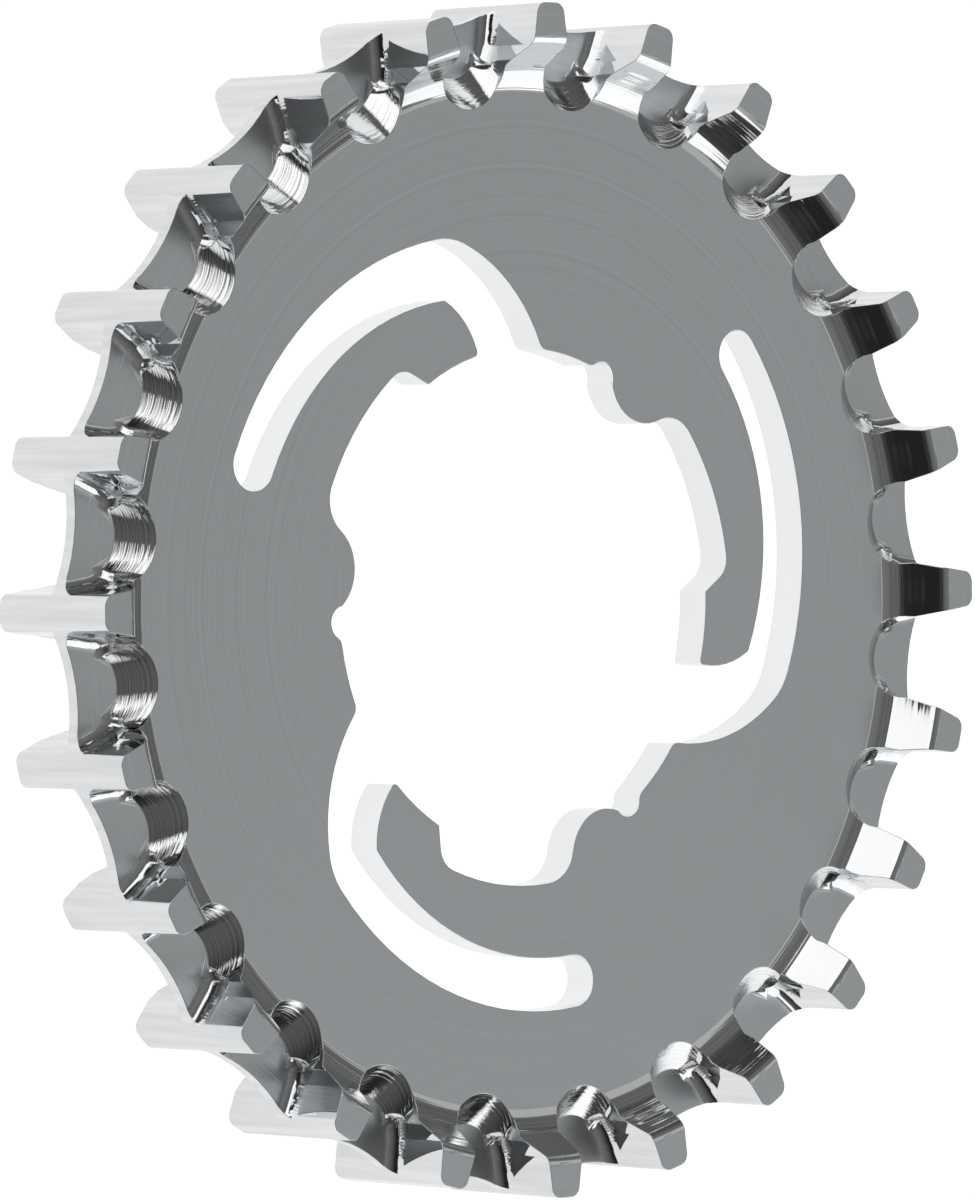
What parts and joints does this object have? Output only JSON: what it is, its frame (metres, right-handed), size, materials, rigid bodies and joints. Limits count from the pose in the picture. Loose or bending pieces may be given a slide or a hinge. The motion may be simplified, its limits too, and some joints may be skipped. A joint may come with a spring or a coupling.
{
  "type": "belt drive sprocket",
  "caption": "Rear belt sprocket for a bicycle hub: a ring of wide teeth joined by a thin centre fin, round a flat plate with a lobed hub bore and three spiral slots.",
  "frame": {"origin": "on the hub axis, at the middle of the belt's width, halfway between the two ends of the teeth", "axes": "+Z along the hub axis, out of the face that the plate lies nearer to; +X through the middle of a tooth"},
  "size_m": [0.0826, 0.0826, 0.0108],
  "materials": {
    "polished_steel": "bright plated steel, satin on the turned plate faces and mirror bright on the teeth"
  },
  "bodies": {
    "root": {"sprocket": "polished_steel"}
  },
  "joints": []
}
